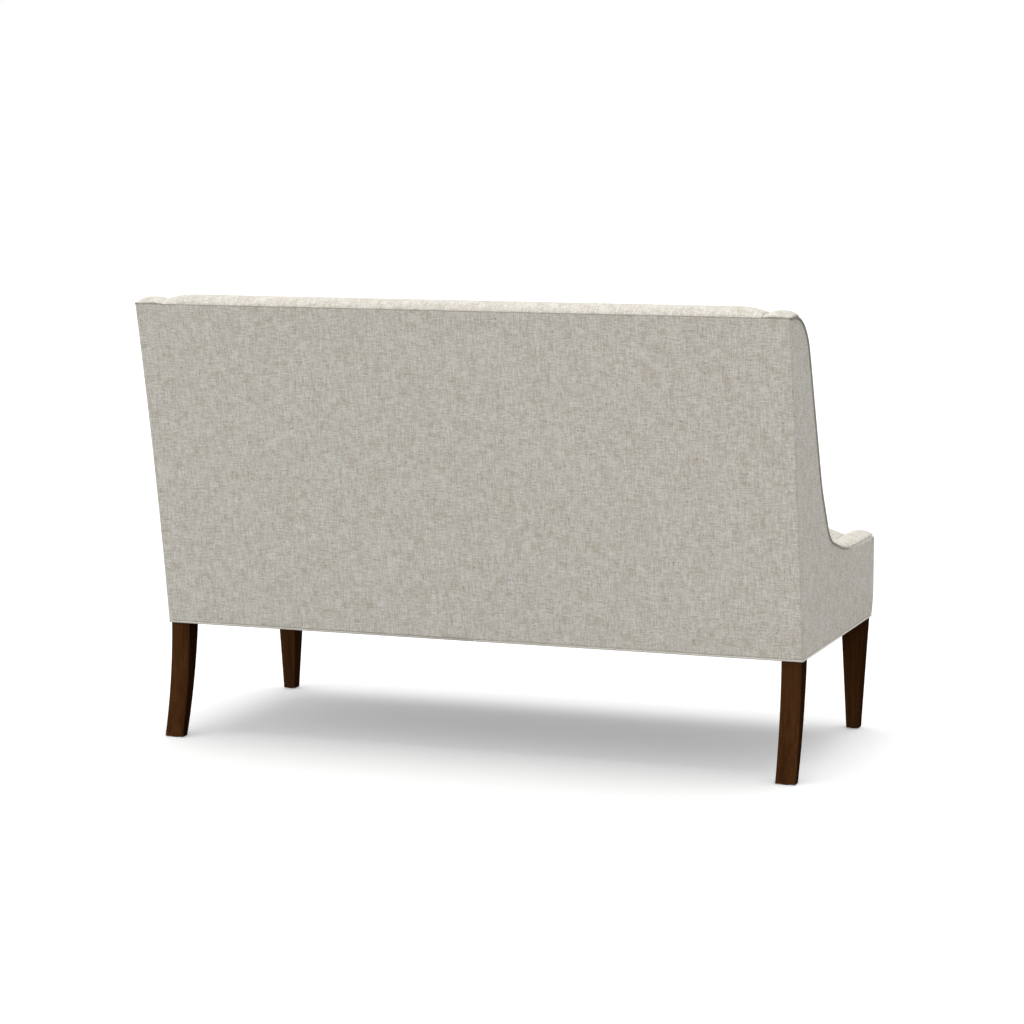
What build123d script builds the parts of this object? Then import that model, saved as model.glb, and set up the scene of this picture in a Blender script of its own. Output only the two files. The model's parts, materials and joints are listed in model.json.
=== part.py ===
from build123d import *
import os
from math import cos, pi, sqrt

# Body, in millimetres: X runs across the seat, the front looks towards -Y and the floor is Z = 0.
# Left and right are as seen from the front.
width = 1524.0  # across the two outside arm panels
body_depth = 649.0  # front border to the bottom edge of the outside back
body_bottom = 265.0  # floor to the underside of the body
back_height = 1018.0  # floor to the seam along the top of the outside back
back_lean = 147.0  # how far that seam stands behind the bottom edge of the back
back_bow = 8.0  # how far the outside back curves forwards at half height
arm_thickness = 62.0  # outside arm to the inside of the wing

# Swoop edge of the side: a level top, a rounded shoulder, a sloping wing, a hollow and a level arm.
# Depths are in front of the back's top edge for the shoulder, of its bottom edge for the others.
shoulder_depth = 134.0
shoulder_radius = 133.0
waist_depth = 142.0
waist_rise = 176.0  # above the arm
waist_radius = 335.0
scoop_depth = 224.0
scoop_rise = 49.0  # above the arm
scoop_radius = 100.0
arm_depth = 409.0
arm_radius = 580.0

# Covers and piping
panel_thickness = 4.0  # outside cover on its backing board
bottom_welt_diameter = 5.0
seat_welt_diameter = 5.0
arm_welt_diameter = 4.8
welt_proud = 1.4  # how far the seat and bottom piping stand out of the panels
arm_welt_proud = 2.8  # the same along the swoop
welt_corner_radius = 3.5

# Frame
ply_thickness = 18.0
rail_thickness = 28.0
rail_height = 133.0  # of the four seat rails
hem = 2.0  # from the underside of the frame down to the underside of the body
tenon_length = 14.0
tenon_shoulder = 8.0
cross_rail_drop = 25.0  # the cross rails lie this far under the webbing
cross_rail_spacing = 450.0
post_top_drop = 20.0  # from the top seam down to the top of the back frame
top_rail_height = 60.0
middle_rail_height = 60.0
middle_rail_rise = 240.0  # seat frame to the underside of the middle rail
lower_rail_height = 55.0
lower_rail_rise = 30.0  # seat frame to the underside of the lower rail
brace_reach = 70.0  # corner block along each rail
brace_thickness = 24.0
strip_height = 15.0  # card strip along the top of the outside back
strip_thickness = 1.6

# Legs
rear_leg_width = 45.5
rear_leg_depth = 51.0
rear_foot_depth = 25.5
sabre_kick = 41.0  # how far the foot sweeps behind the top of the leg
sabre_belly = 9.5  # how far the front of the leg bows forwards
front_leg_size = 56.0
front_foot_size = 30.0
leg_easing = 1.5
leg_step = 1.0  # the rear leg is thinner than the post above it by this much, front and rear
glide_diameter = 20.0
glide_thickness = 2.0
glide_nail_diameter = 2.4
glide_nail_length = 12.0
dust_margin = 6.0  # dust cover inside the edge of the frame

# Screws
screw_diameter = 5.0
screw_head_diameter = 9.0
screw_head_height = 3.0
screw_bite = 20.0  # length of a wing panel's screw in the piece behind it
post_screw_count = 4
rail_screw_count = 3
brace_screw_length = 34.0
brace_screw_bite = 14.0
brace_screw_share = 2 / 3  # how far along a rear corner block its screws stand

# Padding
webbing_thickness = 1.6
webbing_width = 50.0
webbing_pitch = 90.0
webbing_bearing = 14.0  # how far the seat straps reach over the rear rail
deck_thickness = 1.0
seat_foam_thickness = 44.0
seat_crease_rise = 4.0  # edge of the seat pad above the arm seam
seat_crown = 36.0  # middle of the seat pad above its edge
seat_end_crown = 5.0  # the same along the arms
seat_rear_rise = 24.0
seat_front_rise = 24.0
seat_nose_length = 46.0
nose_upright_share = 1 / 3  # how much of the nose's height is upright
nose_bulge_share = 1 / 4  # how far inside its corner the nose's curve passes
seat_overhang = 4.0
back_pad_thickness = 70.0  # at the seat
back_pad_belly = 8.0  # fuller at the middle
back_pad_top_thickness = 54.0
back_nose_drop = 30.0  # from the top seam down to where the front face starts
back_crest_depth = 52.0  # from the top seam forwards to the crest
back_crown = 18.0  # crest above the top seam
back_crease_rise = 8.0  # end of the crest above the top seam
front_straight = 110.0  # height of the plain foot of the back pad behind the seat pad
end_rounding = 60.0  # how far the pads take to swell from a crease
end_stations = 4
roll_crown = 13.0
roll_crease_rise = 5.0
roll_end_radius = 8.0
edge_inset = 4.0  # plywood edge under the swoop seam

# Small round pieces are drawn with flats
round_sides = 10
welt_sides = 8

# Fits
joint_clearance = 0.2
soft_gap = 0.3

# Places that follow from the sizes above
half_width = width / 2
rear_top_y = (body_depth + back_lean + seat_overhang) / 2
rear_y = rear_top_y - back_lean
front_y = rear_y - body_depth
frame_bottom = body_bottom + hem
seat_frame_top = frame_bottom + rail_height
frame_half = half_width - panel_thickness
ply_inner = frame_half - ply_thickness
frame_front = front_y + panel_thickness
wing_inner = half_width - arm_thickness
rear_leg_inner = frame_half - rear_leg_width
front_leg_inner = frame_half - front_leg_size
front_leg_rear = frame_front + front_leg_size
post_rear = panel_thickness + joint_clearance
post_front = post_rear + rear_leg_depth
post_top = back_height - post_top_drop
webbing_top = seat_frame_top + webbing_thickness
deck_top = webbing_top + deck_thickness
foam_top = deck_top + seat_foam_thickness
welt_base = foam_top + joint_clearance
arm_height = welt_base + seat_welt_diameter + joint_clearance
panel_bottom = body_bottom + bottom_welt_diameter + joint_clearance
seat_rail_front = post_rear + rail_thickness
back_strap = post_front + soft_gap / 2
back_cloth = back_strap + webbing_thickness + soft_gap / 2
pad_back = back_cloth + deck_thickness + soft_gap
pad_front = pad_back + back_pad_thickness

# The outside back is an arc through its bottom edge and its top seam
back_rise = back_height - body_bottom
back_chord = sqrt(back_lean**2 + back_rise**2)
back_radius = (back_chord**2 / 4 + back_bow**2) / (2 * back_bow)
centre_share = (back_radius - back_bow) / back_chord
back_centre_y = rear_y + back_lean / 2 + back_rise * centre_share
back_centre_z = body_bottom + back_rise / 2 - back_lean * centre_share

# Corners of the swoop from the top of the back to the front, and the way each one turns
swoop_corners = [
    (rear_top_y, back_height),
    (rear_top_y - shoulder_depth, back_height),
    (rear_y - waist_depth, arm_height + waist_rise),
    (rear_y - scoop_depth, arm_height + scoop_rise),
    (rear_y - arm_depth, arm_height),
    (front_y, arm_height),
]
swoop_radii = [shoulder_radius, waist_radius, scoop_radius, arm_radius]
swoop_hollow = [-1, 1, 1, 1]

os.makedirs("parts", exist_ok=True)


def save(piece, name):
    """Label a finished piece and write it to its file."""
    piece.part.label = name
    export_step(piece.part, f"parts/{name}.step")


def save_pair(piece, name):
    """Write the right-hand piece and its mirror image on the left."""
    save(piece, f"{name}_right")
    with BuildPart() as twin:
        mirror(piece.part, about=Plane.YZ)
    save(twin, f"{name}_left")


def back_y(z, inset=0.0):
    """Y at height z of the arc that runs `inset` in front of the outside back."""
    return back_centre_y - sqrt((back_radius + inset) ** 2 - (z - back_centre_z) ** 2)


def back_point(z, inset=0.0):
    """The point of that arc at height z, as (Y, Z)."""
    return (back_y(z, inset), z)


def back_band(x, rear, front, low, high):
    """A face at x between two arcs of the back's curve and two heights."""
    middle = (low + high) / 2
    with BuildSketch(Plane.YZ.offset(x)) as band:
        with BuildLine():
            ThreePointArc(back_point(low, rear), back_point(middle, rear), back_point(high, rear))
            Line(back_point(high, rear), back_point(high, front))
            ThreePointArc(back_point(high, front), back_point(middle, front), back_point(low, front))
            Line(back_point(low, front), back_point(low, rear))
        make_face()
    return band.sketch


def swoop_run(inset, start_y, end_y):
    """Corners and radii of the swoop edge moved `inset` into the side, between two ends."""
    corners = [Vector(*corner) for corner in swoop_corners]
    runs = [(b - a).normalized() for a, b in zip(corners, corners[1:])]
    inward = [Vector(-run.Y, run.X) for run in runs]
    moved = [Vector(start_y, back_height - inset)]
    for corner, before, after in zip(corners[1:-1], inward, inward[1:]):
        moved.append(corner + (before + after) * (inset / (1 + before.dot(after))))
    moved.append(Vector(end_y, arm_height - inset))
    return moved, [radius + turn * inset for radius, turn in zip(swoop_radii, swoop_hollow)]


def side_face(x, inset, rear, front, bottom):
    """A face at x with the side's outline: the swoop, the front, the bottom and the back's arc."""
    top = back_height - inset
    middle = (top + bottom) / 2
    points, radii = swoop_run(inset, back_y(top, rear), front)
    with BuildSketch(Plane.YZ.offset(x)) as side:
        with BuildLine():
            FilletPolyline(*points, radius=radii)
            Polyline(points[-1], (front, bottom), back_point(bottom, rear))
            ThreePointArc(back_point(bottom, rear), back_point(middle, rear), points[0])
        make_face()
    return side.sketch


def swoop_path(x, start_y, end_y):
    """The swoop seam at x as a line to carry a section along."""
    points, radii = swoop_run(0.0, start_y, end_y)
    with BuildLine() as path:
        FilletPolyline(*points, radius=radii)
    return Plane.YZ.offset(x) * path.line


def stations(half, rounding):
    """X and fullness of the sections of a pad: full in the middle, rounding off to its two ends."""
    turns = [pi / 2 * step / end_stations for step in range(end_stations + 1)]
    right = [(half - rounding * (1 - cos(turn)), sqrt(1 - cos(turn) ** 2)) for turn in turns]
    return [(-x, fullness) for x, fullness in right] + right[::-1]


# Rails between the rear posts: insets of the rear and front faces, underside and top
light_rail_rear = post_front - rail_thickness
lower_rail_low = seat_frame_top + lower_rail_rise
middle_rail_low = seat_frame_top + middle_rail_rise
seat_rear_rail = (post_rear, seat_rail_front, frame_bottom, seat_frame_top)
lower_rail = (light_rail_rear, post_front, lower_rail_low, lower_rail_low + lower_rail_height)
middle_rail = (light_rail_rear, post_front, middle_rail_low, middle_rail_low + middle_rail_height)
top_rail = (post_rear, post_front, post_top - top_rail_height, post_top)


def rail_section(x, rail, shrink=0.0):
    """A rail's section at x, drawn in by `shrink` all round."""
    rear, front, low, high = rail
    return back_band(x, rear + shrink, front - shrink, low + shrink, high - shrink)


def post_rail(rail):
    """A rail between the rear posts, with a tenon at each end."""
    reach = rear_leg_inner + tenon_length
    with BuildPart() as part:
        extrude(rail_section(-rear_leg_inner, rail), amount=2 * rear_leg_inner)
        extrude(rail_section(-reach, rail, tenon_shoulder), amount=2 * reach)
    return part.part


def level_rail(x, thickness, front, rear_inset, top):
    """A rail along Y from x outwards, square at the front and fitted to the back's curve behind."""
    middle = (frame_bottom + top) / 2
    with BuildPart() as part:
        with BuildSketch(Plane.YZ.offset(x)):
            with BuildLine():
                Polyline(
                    back_point(frame_bottom, rear_inset),
                    (front, frame_bottom),
                    (front, top),
                    back_point(top, rear_inset),
                )
                ThreePointArc(
                    back_point(top, rear_inset),
                    back_point(middle, rear_inset),
                    back_point(frame_bottom, rear_inset),
                )
            make_face()
        extrude(amount=thickness)
    return part.part


def bar(low, high, slack=0.0):
    """A square-edged bar between two corners, larger by `slack` all round."""
    with BuildPart() as part:
        with Locations((Vector(*low) + Vector(*high)) / 2):
            Box(*(b - a + 2 * slack for a, b in zip(low, high)))
    return part.part


def screws_at(places, length, slack=0.0, way_in=0.0):
    """Screws with their heads at the places, or with slack and a way in, the bores they sit in."""
    seats = [Plane(place).offset(-screw_head_height - slack) for place in places]
    with BuildPart() as screws:
        with BuildSketch(*seats):
            RegularPolygon(screw_head_diameter / 2 + slack, round_sides)
        extrude(amount=screw_head_height + slack + way_in)
        with BuildSketch(*seats):
            RegularPolygon(screw_diameter / 2 + slack, round_sides)
        extrude(amount=screw_head_height - length)
    return screws.part


# Tenons of the seat rails: opposite corners of the bar that runs through each rail
tenon_low = frame_bottom + tenon_shoulder
tenon_high = seat_frame_top - tenon_shoulder
frame_middle = (frame_bottom + seat_frame_top) / 2
side_rail_rear = back_y(frame_bottom, post_front)
side_tenon = (
    (rear_leg_inner + tenon_shoulder, front_leg_rear - tenon_length, tenon_low),
    (ply_inner - tenon_shoulder, side_rail_rear + tenon_length, tenon_high),
)
cross_front = frame_front + rail_thickness
cross_rear = back_y(frame_bottom, seat_rail_front)
cross_rail_top = seat_frame_top - cross_rail_drop
cross_rail_x = cross_rail_spacing / 2 - rail_thickness / 2
cross_tenon = (
    (cross_rail_x + tenon_shoulder, cross_front - tenon_length, tenon_low),
    (
        cross_rail_x + rail_thickness - tenon_shoulder,
        cross_rear + tenon_length,
        cross_rail_top - tenon_shoulder,
    ),
)
front_tenon_reach = front_leg_inner + tenon_length
front_tenon = (
    (-front_tenon_reach, frame_front + tenon_shoulder, tenon_low),
    (front_tenon_reach, cross_front - tenon_shoulder, tenon_high),
)
with BuildPart() as cross_mortises:
    add(bar(*cross_tenon, slack=joint_clearance))
    mirror(about=Plane.YZ)

# Screws that hold the plywood wing panel on the post, the side rail and the front leg
front_leg_x = frame_half - front_leg_size / 2
front_leg_y = frame_front + front_leg_size / 2
post_screw_step = (post_top - seat_frame_top) / post_screw_count
rail_screw_step = (side_rail_rear - front_leg_rear) / rail_screw_count
wing_screw_points = [
    back_point(seat_frame_top + (i + 0.5) * post_screw_step, (post_rear + post_front) / 2)
    for i in range(post_screw_count)
]
wing_screw_points += [
    (front_leg_rear + (i + 0.5) * rail_screw_step, frame_middle) for i in range(rail_screw_count)
]
wing_screw_points += [(front_leg_y, z) for z in (tenon_low, tenon_high)]
wing_screw_places = [Location((frame_half, y, z), (0, 90, 0)) for y, z in wing_screw_points]
wing_screw_length = ply_thickness + screw_bite
wing_screw_bores = screws_at(wing_screw_places, wing_screw_length, joint_clearance, panel_thickness)

# Corner blocks, notched round the front legs, and the screws that hold them to the rails
brace_low = frame_middle - brace_thickness / 2
rear_corner = back_y(brace_low, seat_rail_front) - soft_gap
front_brace = [
    (rear_leg_inner, front_leg_rear),
    (rear_leg_inner, front_leg_rear + brace_reach),
    (front_leg_inner - brace_reach, cross_front),
    (front_leg_inner, cross_front),
    (front_leg_inner, front_leg_rear),
]
rear_brace = [
    (rear_leg_inner, rear_corner),
    (rear_leg_inner, rear_corner - brace_reach),
    (rear_leg_inner - brace_reach, rear_corner),
]
brace_screw_head = brace_screw_length - brace_screw_bite
brace_screw_x = rear_leg_inner - brace_screw_head
brace_screw_places = [
    Location((brace_screw_x, front_leg_rear + brace_reach / 2, frame_middle), (0, -90, 0)),
    Location((brace_screw_x, rear_corner - brace_reach * brace_screw_share, frame_middle), (0, -90, 0)),
    Location(
        (front_leg_inner - brace_reach / 2, cross_front + brace_screw_head, frame_middle),
        (-90, 0, 0),
    ),
    Location(
        (
            rear_leg_inner - brace_reach * brace_screw_share,
            rear_corner - brace_screw_head,
            frame_middle,
        ),
        (90, 0, 0),
    ),
]
with BuildPart() as brace_bores:
    add(screws_at(brace_screw_places, brace_screw_length, joint_clearance, brace_reach))
    mirror(about=Plane.YZ)

# Rear posts: a sabre leg below the body, a raked post inside the back, lapped by the wing panel
foot_rear = back_y(frame_bottom, post_rear) + sabre_kick
foot_front = foot_rear - rear_foot_depth
sabre_rear = back_point(frame_bottom, post_rear + leg_step)
sabre_front = back_point(frame_bottom, post_front - leg_step)
rear_foot = (frame_half - rear_leg_width / 2, (foot_rear + foot_front) / 2, glide_thickness)
front_foot = (front_leg_x, front_leg_y, glide_thickness)


def nail_bore(foot):
    """The hole for a glide's nail, up from the sole of a foot."""
    with BuildPart() as bore:
        with BuildSketch(Plane(foot)):
            RegularPolygon(glide_nail_diameter / 2 + joint_clearance, round_sides)
        extrude(amount=glide_nail_length + joint_clearance)
    return bore.part


with BuildPart() as rear_post:
    with BuildSketch(Plane.YZ.offset(rear_leg_inner)):
        with BuildLine():
            rear_edge = TangentArc(sabre_rear, (foot_rear, glide_thickness), tangent=(0, -1))
            sole = Line(rear_edge @ 1, (foot_front, glide_thickness))
            SagittaArc(sole @ 1, sabre_front, sabre_belly)
            Line(sabre_front, sabre_rear)
        make_face()
    extrude(amount=rear_leg_width)
    chamfer(rear_post.edges().filter_by(GeomType.CIRCLE), leg_easing)
    extrude(
        back_band(rear_leg_inner, post_rear, post_front, frame_bottom, post_top),
        amount=ply_inner - rear_leg_inner,
    )
    for rail in (seat_rear_rail, lower_rail, middle_rail, top_rail):
        extrude(
            rail_section(rear_leg_inner, rail, tenon_shoulder - joint_clearance),
            amount=tenon_length + joint_clearance,
            mode=Mode.SUBTRACT,
        )
    add(bar(*side_tenon, slack=joint_clearance), mode=Mode.SUBTRACT)
    add(wing_screw_bores, mode=Mode.SUBTRACT)
    add(nail_bore(rear_foot), mode=Mode.SUBTRACT)
save_pair(rear_post, "rear_post")

# Front legs: a square taper below, a block in the corner of the seat frame above
with BuildPart() as front_leg:
    for z, size in ((glide_thickness, front_foot_size), (frame_bottom, front_leg_size)):
        with BuildSketch(Plane.XY.offset(z)):
            with Locations((front_leg_x, front_leg_y)):
                Rectangle(size, size)
    loft()
    chamfer(front_leg.edges().filter_by(Plane.XY, reverse=True), leg_easing)
    add(
        bar(
            (front_leg_inner, frame_front, frame_bottom),
            (ply_inner, front_leg_rear, seat_frame_top),
        )
    )
    add(bar(*front_tenon, slack=joint_clearance), mode=Mode.SUBTRACT)
    add(bar(*side_tenon, slack=joint_clearance), mode=Mode.SUBTRACT)
    add(wing_screw_bores, mode=Mode.SUBTRACT)
    add(nail_bore(front_foot), mode=Mode.SUBTRACT)
save_pair(front_leg, "front_leg")

# Glides: a disc with a nail under each foot
with BuildPart() as glides:
    with BuildSketch(*[Plane(foot) for foot in (rear_foot, front_foot)]):
        RegularPolygon(glide_diameter / 2, 2 * round_sides)
    extrude(amount=-glide_thickness)
    with BuildSketch(*[Plane(foot) for foot in (rear_foot, front_foot)]):
        RegularPolygon(glide_nail_diameter / 2, round_sides)
    extrude(amount=glide_nail_length)
    mirror(about=Plane.YZ)
save(glides, "glides")

# Seat frame
with BuildPart() as side_rail:
    add(level_rail(rear_leg_inner, ply_inner - rear_leg_inner, front_leg_rear, post_front, seat_frame_top))
    add(bar(*side_tenon))
    add(wing_screw_bores, mode=Mode.SUBTRACT)
    add(brace_bores.part, mode=Mode.SUBTRACT)
save_pair(side_rail, "side_rail")

with BuildPart() as cross_rail:
    add(level_rail(cross_rail_x, rail_thickness, cross_front, seat_rail_front, cross_rail_top))
    add(bar(*cross_tenon))
save_pair(cross_rail, "seat_cross_rail")

with BuildPart() as front_rail:
    add(
        bar(
            (-front_leg_inner, frame_front, frame_bottom),
            (front_leg_inner, cross_front, seat_frame_top),
        )
    )
    add(bar(*front_tenon))
    add(cross_mortises.part, mode=Mode.SUBTRACT)
    add(brace_bores.part, mode=Mode.SUBTRACT)
save(front_rail, "front_rail")

with BuildPart() as rear_rail:
    add(post_rail(seat_rear_rail))
    add(cross_mortises.part, mode=Mode.SUBTRACT)
    add(brace_bores.part, mode=Mode.SUBTRACT)
save(rear_rail, "rear_rail")

with BuildPart() as corner_blocks:
    for outline in (front_brace, rear_brace):
        with BuildSketch(Plane.XY.offset(brace_low)):
            with BuildLine():
                Polyline(*outline, close=True)
            make_face()
    extrude(amount=brace_thickness)
    mirror(about=Plane.YZ)
    add(brace_bores.part, mode=Mode.SUBTRACT)
save(corner_blocks, "corner_blocks")

with BuildPart() as corner_block_screws:
    add(screws_at(brace_screw_places, brace_screw_length))
    mirror(about=Plane.YZ)
save(corner_block_screws, "corner_block_screws")

# Back frame
for rail, name in ((lower_rail, "back_lower_rail"), (middle_rail, "back_middle_rail")):
    with BuildPart() as back_rail:
        add(post_rail(rail))
    save(back_rail, name)

strip_front = post_rear + strip_thickness
strip_low = post_top - strip_height
with BuildPart() as back_top_rail:
    add(post_rail(top_rail))
    extrude(
        back_band(-wing_inner, 0, strip_front + joint_clearance, strip_low, back_height),
        amount=2 * wing_inner,
        mode=Mode.SUBTRACT,
    )
save(back_top_rail, "back_top_rail")

with BuildPart() as back_tack_strip:
    extrude(
        back_band(-wing_inner, post_rear, strip_front, strip_low, post_top), amount=2 * wing_inner
    )
save(back_tack_strip, "back_tack_strip")

# Back stiles: notched for the rails in front of them and for the seat straps at their feet
strap_rear = seat_rail_front - webbing_bearing
with BuildPart() as back_stile:
    extrude(
        back_band(cross_rail_x, post_rear, post_front, seat_frame_top, post_top - top_rail_height),
        amount=rail_thickness,
    )
    for rail in (lower_rail, middle_rail):
        extrude(rail_section(0, rail, -joint_clearance), amount=half_width, mode=Mode.SUBTRACT)
    extrude(
        back_band(
            0, strap_rear - joint_clearance, pad_front, frame_bottom, deck_top + joint_clearance
        ),
        amount=half_width,
        mode=Mode.SUBTRACT,
    )
save_pair(back_stile, "back_stile")

# Plywood wing panels, cut to the swoop
with BuildPart() as wing_panel:
    extrude(
        side_face(ply_inner, edge_inset, post_rear, frame_front, frame_bottom),
        amount=ply_thickness,
    )
    add(wing_screw_bores, mode=Mode.SUBTRACT)
save_pair(wing_panel, "wing_panel")

with BuildPart() as wing_panel_screws:
    add(screws_at(wing_screw_places, wing_screw_length))
    mirror(about=Plane.YZ)
save(wing_panel_screws, "wing_panel_screws")

# Webbing and deck cloths
strap_count = int((2 * wing_inner - webbing_pitch) // webbing_pitch) + 1
strap_end = back_y(seat_frame_top, strap_rear)
with BuildPart() as seat_webbing:
    with BuildSketch(Plane.XY.offset(seat_frame_top)):
        with Locations((0, (frame_front + strap_end) / 2)):
            with GridLocations(webbing_pitch, 0, strap_count, 1):
                Rectangle(webbing_width, strap_end - frame_front)
    extrude(amount=webbing_thickness)
save(seat_webbing, "seat_webbing")

with BuildPart() as seat_deck_cloth:
    add(bar((-wing_inner, frame_front, webbing_top), (wing_inner, strap_end, deck_top)))
save(seat_deck_cloth, "seat_deck_cloth")

with BuildPart() as back_webbing:
    for i in range(strap_count):
        strap_x = (i - strap_count / 2 + 0.5) * webbing_pitch - webbing_width / 2
        extrude(
            back_band(
                strap_x, back_strap, back_strap + webbing_thickness, lower_rail_low, post_top
            ),
            amount=webbing_width,
        )
save(back_webbing, "back_webbing")

with BuildPart() as back_deck_cloth:
    extrude(
        back_band(
            -wing_inner, back_cloth, back_cloth + deck_thickness, lower_rail_low, post_top
        ),
        amount=2 * wing_inner,
    )
save(back_deck_cloth, "back_deck_cloth")

# Seat: a foam slab under a crowned pad that rolls over the front edge
pad_half = wing_inner - soft_gap
foam_front = frame_front + soft_gap
seat_behind = pad_front + soft_gap
with BuildPart() as seat_foam:
    with BuildSketch(Plane.YZ.offset(-pad_half)):
        with BuildLine():
            Polyline(
                (foam_front, deck_top),
                back_point(deck_top, seat_behind),
                back_point(foam_top, seat_behind),
                (foam_front, foam_top),
                close=True,
            )
        make_face()
    extrude(amount=2 * pad_half)
save(seat_foam, "seat_foam")

seat_edge = arm_height + seat_crease_rise
seat_lip = arm_height + soft_gap
nose_front = front_y - seat_overhang
nose_rear = front_y + seat_nose_length
with BuildPart() as seat_pad:
    for x, fullness in stations(pad_half, end_rounding):
        rear_top = back_point(seat_edge + fullness * seat_rear_rise, seat_behind)
        nose_top = seat_edge + fullness * seat_front_rise
        nose_low = seat_lip + (nose_top - seat_lip) * nose_upright_share
        crown_rise = seat_end_crown + fullness * (seat_crown - seat_end_crown)
        crown = ((rear_top[0] + nose_rear) / 2, seat_edge + crown_rise)
        nose_bulge = (
            nose_front + (nose_rear - nose_front) * nose_bulge_share,
            nose_top - (nose_top - nose_low) * nose_bulge_share,
        )
        with BuildSketch(Plane.YZ.offset(x)):
            with BuildLine():
                ThreePointArc(rear_top, crown, (nose_rear, nose_top))
                ThreePointArc((nose_rear, nose_top), nose_bulge, (nose_front, nose_low))
                Polyline(
                    (nose_front, nose_low),
                    (nose_front, seat_lip),
                    (foam_front, seat_lip),
                    (foam_front, welt_base),
                    back_point(welt_base, seat_behind),
                    rear_top,
                )
            make_face()
    loft(ruled=True)
save(seat_pad, "seat_pad")

# Back pad: from the deck up the front of the frame and over the top rail to the seam
pad_low = deck_top + soft_gap
hook_low = post_top + soft_gap
hook_rear = panel_thickness + soft_gap
foot_top = pad_low + front_straight
nose_z = back_height - back_nose_drop
belly_z = (foot_top + nose_z) / 2
frame_z = (pad_low + hook_low) / 2
with BuildPart() as back_pad:
    for x, fullness in stations(pad_half, end_rounding):
        crest_rise = back_crease_rise + fullness * (back_crown - back_crease_rise)
        crest = (rear_top_y - back_crest_depth, back_height + crest_rise)
        nose = back_point(nose_z, pad_back + back_pad_top_thickness)
        belly = back_point(belly_z, pad_front + fullness * back_pad_belly)
        with BuildSketch(Plane.YZ.offset(x)):
            with BuildLine():
                ThreePointArc(
                    back_point(pad_low, pad_back),
                    back_point(frame_z, pad_back),
                    back_point(hook_low, pad_back),
                )
                Polyline(
                    back_point(hook_low, pad_back),
                    back_point(hook_low, hook_rear),
                    back_point(back_height, hook_rear),
                )
                ThreePointArc(back_point(back_height, hook_rear), crest, nose)
                ThreePointArc(nose, belly, back_point(foot_top, pad_front))
                Polyline(
                    back_point(foot_top, pad_front),
                    back_point(pad_low, pad_front),
                    back_point(pad_low, pad_back),
                )
            make_face()
    loft(ruled=True)
save(back_pad, "back_pad")

# Wings: a flat pad on the inside of the plywood and a padded roll along the swoop edge
with BuildPart() as inside_wing_pad:
    extrude(
        side_face(
            wing_inner,
            edge_inset + soft_gap,
            post_rear,
            foam_front,
            seat_frame_top + soft_gap,
        ),
        amount=ply_inner - wing_inner - soft_gap,
    )
    extrude(
        back_band(wing_inner, 0, post_front + soft_gap, frame_bottom, back_height),
        amount=arm_thickness,
        mode=Mode.SUBTRACT,
    )
save_pair(inside_wing_pad, "inside_wing_pad")

roll_outer = frame_half - soft_gap
roll_base = soft_gap - edge_inset
roll_rear = back_y(back_height - edge_inset, hook_rear)
roll_path = swoop_path(wing_inner, roll_rear, nose_front)
with BuildPart() as wing_roll:
    with BuildSketch(Plane(roll_path @ 0, x_dir=(1, 0, 0), z_dir=roll_path % 0)):
        with BuildLine():
            reach = roll_outer - wing_inner
            ThreePointArc((0, roll_crease_rise), (reach / 2, roll_crown), (reach, 0))
            Polyline((reach, 0), (reach, roll_base), (0, roll_base), (0, roll_crease_rise))
        make_face()
    sweep(path=roll_path)
    fillet(wing_roll.faces().sort_by(Axis.Y)[0].edges().filter_by(GeomType.CIRCLE), roll_end_radius)
    add(
        bar(
            (0, nose_front - soft_gap, frame_bottom),
            (half_width, foam_front, seat_lip),
        ),
        mode=Mode.SUBTRACT,
    )
save_pair(wing_roll, "wing_roll")

# Outside covers on their boards
with BuildPart() as outside_back_panel:
    extrude(back_band(-half_width, 0, panel_thickness, panel_bottom, back_height), amount=width)
save(outside_back_panel, "outside_back_panel")

with BuildPart() as outside_arm_panel:
    extrude(
        side_face(
            frame_half,
            arm_welt_diameter / 2 + soft_gap,
            panel_thickness + joint_clearance,
            front_y,
            panel_bottom,
        ),
        amount=panel_thickness,
    )
save_pair(outside_arm_panel, "outside_arm_panel")

border_half = frame_half - joint_clearance
with BuildPart() as front_border:
    add(bar((-border_half, front_y, panel_bottom), (border_half, frame_front, foam_top)))
save(front_border, "front_border")

# Piping: along the swoop, along the front of the seat and round the bottom of the body
arm_welt_x = half_width + arm_welt_proud - arm_welt_diameter / 2
arm_welt_path = swoop_path(arm_welt_x, roll_rear, front_y)
with BuildPart() as arm_welt:
    with BuildSketch(Plane(arm_welt_path @ 0, x_dir=(1, 0, 0), z_dir=arm_welt_path % 0)):
        RegularPolygon(arm_welt_diameter / 2, welt_sides)
    sweep(path=arm_welt_path)
save_pair(arm_welt, "arm_welt")

with BuildPart() as seat_welt:
    seat_welt_y = front_y + seat_welt_diameter / 2 - welt_proud
    with BuildSketch(Plane.YZ.offset(-roll_outer)):
        with Locations((seat_welt_y, welt_base + seat_welt_diameter / 2)):
            RegularPolygon(seat_welt_diameter / 2, welt_sides)
    extrude(amount=2 * roll_outer)
save(seat_welt, "seat_welt")

welt_inset = bottom_welt_diameter / 2 - welt_proud
with BuildLine(Plane.XY.offset(body_bottom + bottom_welt_diameter / 2)) as bottom_path:
    welt_half = half_width - welt_inset
    FilletPolyline(
        (-welt_half, front_y + welt_inset),
        (welt_half, front_y + welt_inset),
        (welt_half, rear_y - welt_inset),
        (-welt_half, rear_y - welt_inset),
        radius=welt_corner_radius,
        close=True,
    )
with BuildPart() as bottom_welt:
    with BuildSketch(Plane(bottom_path.line @ 0, z_dir=bottom_path.line % 0)):
        RegularPolygon(bottom_welt_diameter / 2, welt_sides)
    sweep(path=bottom_path.line)
save(bottom_welt, "bottom_welt")

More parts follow.
